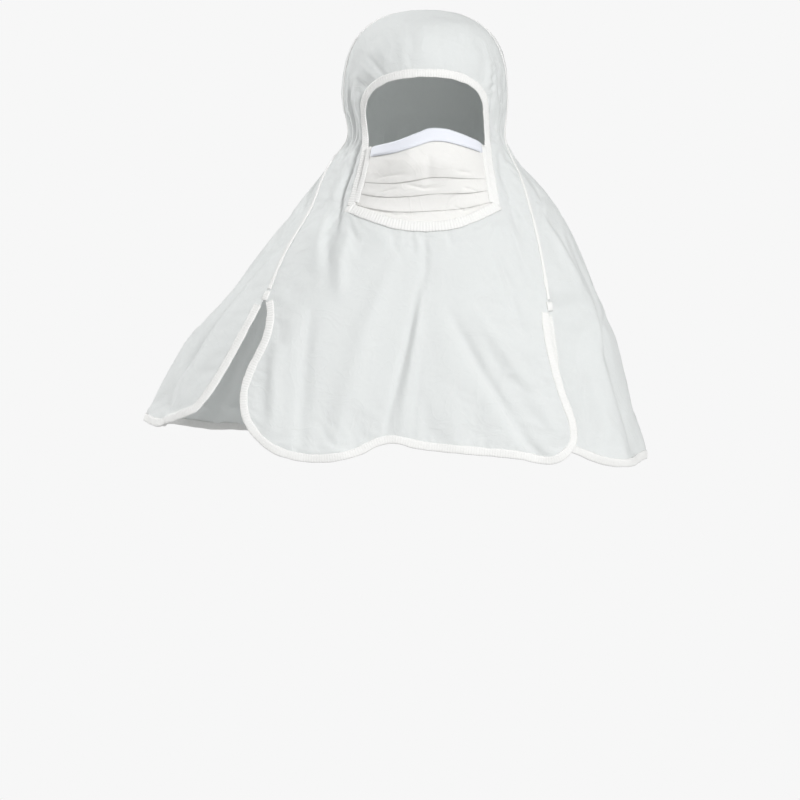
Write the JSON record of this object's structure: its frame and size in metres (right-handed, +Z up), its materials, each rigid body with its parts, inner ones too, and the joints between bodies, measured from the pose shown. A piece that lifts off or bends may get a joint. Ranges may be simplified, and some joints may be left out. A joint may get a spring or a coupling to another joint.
{
  "type": "cleanroom hood with face mask",
  "caption": "Soft white head hood with a shoulder cape, a lifting bib, a pleated face mask sewn into its face opening and a snap adjuster at the nape.",
  "frame": {"origin": "the seat on top of the wearer's head, inside the crown", "axes": "+Z up; the wearer faces -Y; +X is the wearer's left"},
  "size_m": [0.5079, 0.276, 0.4653],
  "materials": {
    "hood_fabric": "matt white nonwoven with a fine embossed dot pattern",
    "binding": "brighter white folded binding with an overlocked edge",
    "mask_outer": "smooth warm white nonwoven",
    "mask_filter": "fine filter felt",
    "mask_lining": "soft white lining",
    "mask_band": "smooth cool white film-faced band",
    "nose_wire": "soft satin strip",
    "elastic": "white braided elastic",
    "snap_plastic": "moulded white plastic"
  },
  "bodies": {
    "root": {"hood_front": "hood_fabric", "bib_upper": "hood_fabric", "hood_back": "hood_fabric", "cape_back": "hood_fabric", "crown_seam": "binding", "right_side_seam": "binding", "left_side_seam": "binding", "face_binding": "binding", "chin_band": "binding", "cape_hem": "binding", "right_slit_tack": "binding", "left_slit_tack": "binding", "mask_outer_ply": "mask_outer", "mask_filter_ply": "mask_filter", "mask_lining_ply": "mask_lining", "mask_top_band": "mask_band", "nose_wire": "nose_wire", "mask_right_edge": "binding", "mask_left_edge": "binding", "nape_casing": "binding", "nape_elastic": "elastic", "right_tab_anchor": "binding", "left_tab_anchor": "binding", "right_socket_1": "snap_plastic", "right_socket_2": "snap_plastic", "right_socket_3": "snap_plastic", "left_socket_1": "snap_plastic", "left_socket_2": "snap_plastic", "left_socket_3": "snap_plastic"},
    "bib": {"bib_flap": "hood_fabric", "bib_hem": "binding"},
    "right_tab": {"right_tab": "hood_fabric", "right_tab_cap": "snap_plastic", "right_tab_stud": "snap_plastic"},
    "left_tab": {"left_tab": "hood_fabric", "left_tab_cap": "snap_plastic", "left_tab_stud": "snap_plastic"}
  },
  "joints": [
    {"name": "bib_lift", "type": "hinge", "parent": "root", "child": "bib", "pos_m": [-0.02, -0.1345, -0.311], "axis": [-1, 0, 0], "range_deg": [0, 100]},
    {"name": "right_tab_peel", "type": "hinge", "parent": "root", "child": "right_tab", "pos_m": [-0.084, 0.0641, -0.191], "axis": [0, 0, 1], "range_deg": [0, 110]},
    {"name": "left_tab_peel", "type": "hinge", "parent": "root", "child": "left_tab", "pos_m": [0.084, 0.0641, -0.191], "axis": [0, 0, -1], "range_deg": [0, 110]}
  ]
}
